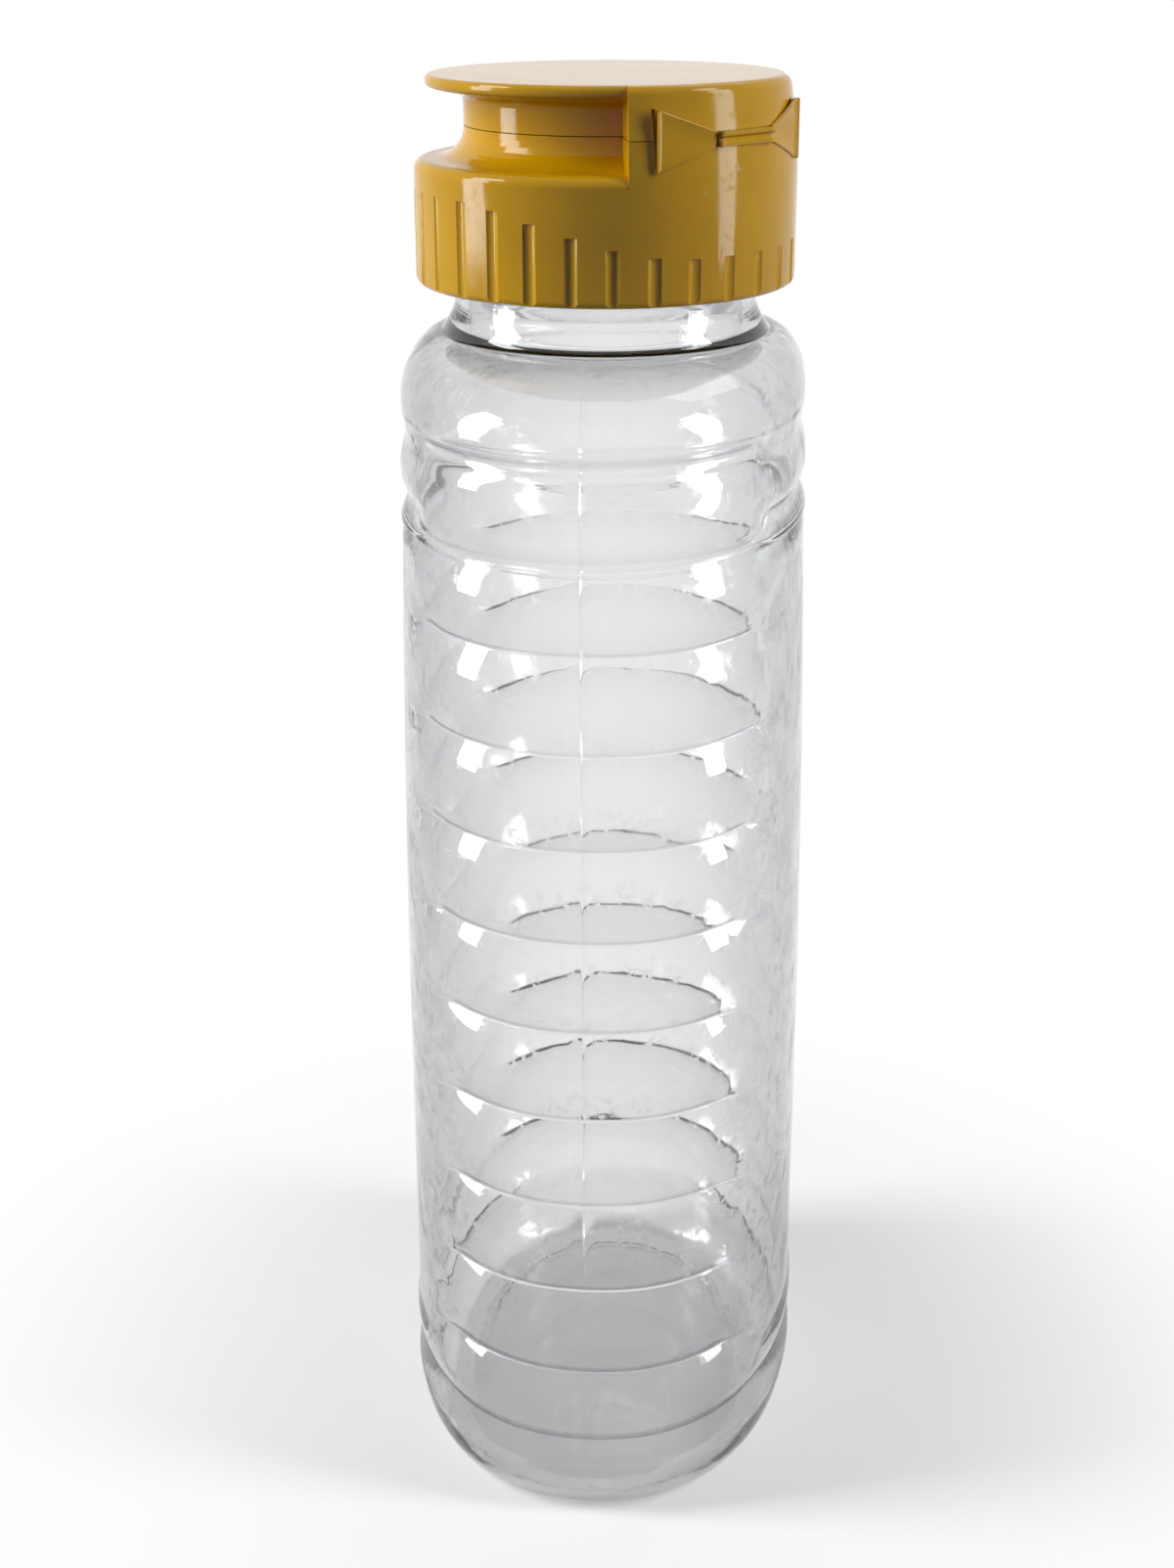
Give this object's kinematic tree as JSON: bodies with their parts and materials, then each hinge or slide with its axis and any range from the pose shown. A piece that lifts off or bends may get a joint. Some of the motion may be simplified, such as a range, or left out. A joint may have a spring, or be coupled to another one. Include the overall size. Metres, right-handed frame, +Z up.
{
  "type": "squeeze bottle with snap-top closure",
  "caption": "Tall oval clear squeeze bottle for honey with ribbed ends, smooth label panels and a screw-on snap-top closure with a butterfly hinge.",
  "frame": {"origin": "middle of the standing ring, on the surface the bottle stands on", "axes": "+Z up along the neck's axis, +X out of one label panel, +Y out of the ribbed end away from the camera of the picture; the hinge of the closure faces 41 degrees from +X towards -Y"},
  "size_m": [0.0506, 0.0678, 0.1738],
  "materials": {
    "clear_plastic": "clear, blow moulded",
    "yellow_plastic": "glossy, injection moulded",
    "foam_liner": "foam"
  },
  "bodies": {
    "bottle": {"bottle": "clear_plastic"},
    "closure_carrier": {"sealing_liner": "foam_liner"},
    "closure_base": {"cap_base": "yellow_plastic", "hinge_web": "yellow_plastic", "hinge_wing_left": "yellow_plastic", "hinge_wing_right": "yellow_plastic"},
    "lid": {"lid": "yellow_plastic"}
  },
  "joints": [
    {"name": "closure_lift", "type": "slide", "parent": "bottle", "child": "closure_carrier", "axis": [0, 0, 1], "range_m": [0, 0.0053]},
    {"name": "closure_turn", "type": "hinge", "parent": "closure_carrier", "child": "closure_base", "pos_m": [0, 0, 0.1627], "axis": [0, 0, 1], "range_deg": [0, 450]},
    {"name": "lid_hinge", "type": "hinge", "parent": "closure_base", "child": "lid", "pos_m": [0.01672, -0.01453, 0.1682], "axis": [0.6561, 0.7547, 0], "range_deg": [0, 180], "deforming": ["hinge_web", "hinge_wing_left", "hinge_wing_right"]}
  ],
  "couplings": [
    {"joint": "closure_lift", "follows": "closure_turn", "m_per_rad": 0.0006737}
  ]
}
